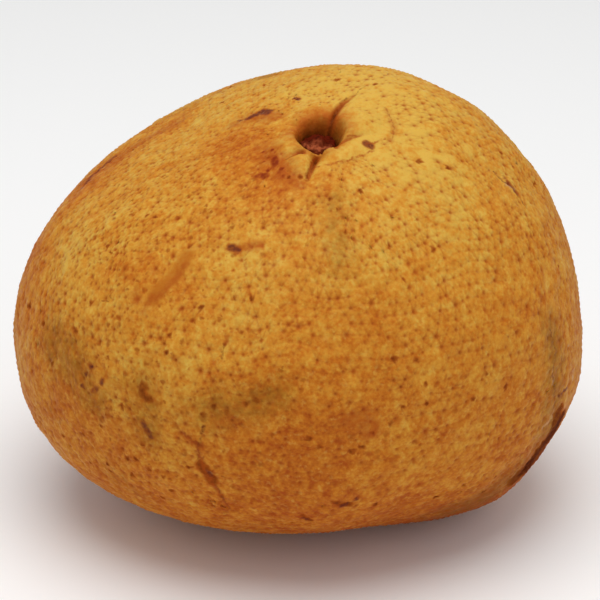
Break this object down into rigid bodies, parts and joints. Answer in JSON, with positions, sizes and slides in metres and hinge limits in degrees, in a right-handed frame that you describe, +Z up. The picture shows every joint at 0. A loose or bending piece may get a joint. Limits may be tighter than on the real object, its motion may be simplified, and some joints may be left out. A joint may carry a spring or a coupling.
{
  "type": "jamaican tangelo",
  "caption": "Whole lop-sided citrus fruit with a pitted yellow-orange rind, a creased stem basin and its dry stem button, resting on a small flat spot.",
  "frame": {"origin": "under the middle of the fruit's bounding box, on the surface that it rests on", "axes": "+Z up, with the stem end on top; +X to the right in the picture, along the longest extent; the viewer is at -Y"},
  "size_m": [0.1154, 0.1101, 0.0912],
  "materials": {
    "rind": "waxy pitted citrus rind, golden yellow to orange, with brown scars, rust-coloured pores and olive patches",
    "dry_stem": "dry matt reddish-brown calyx with a fibrous broken stem"
  },
  "bodies": {
    "root": {"fruit": "rind", "stem_button": "dry_stem"}
  },
  "joints": []
}
